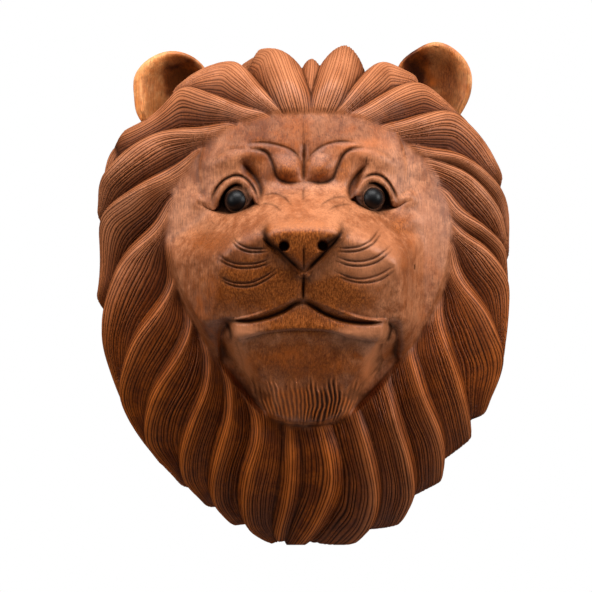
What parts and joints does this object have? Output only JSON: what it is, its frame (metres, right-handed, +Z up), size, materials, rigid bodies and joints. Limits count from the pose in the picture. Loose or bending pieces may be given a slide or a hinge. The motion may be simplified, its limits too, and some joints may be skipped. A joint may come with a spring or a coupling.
{
  "type": "wooden lion head wall plaque",
  "caption": "Carved wooden lion head for a wall: full mane in grooved locks, cupped ears, frowning brow, broad muzzle, beard and domed black eyes on a flat back.",
  "frame": {"origin": "on the flat back that lies against the wall, level with the mouth and on the nose's centre line", "axes": "+Z up, +Y into the wall, so the face looks towards -Y; +X to the right of someone facing the lion"},
  "size_m": [0.4171, 0.2261, 0.5022],
  "materials": {
    "carved_wood": "stained and waxed, satin",
    "eye_gloss": "polished black"
  },
  "bodies": {
    "root": {"lion_head": "carved_wood", "left_eye": "eye_gloss", "right_eye": "eye_gloss"}
  },
  "joints": []
}
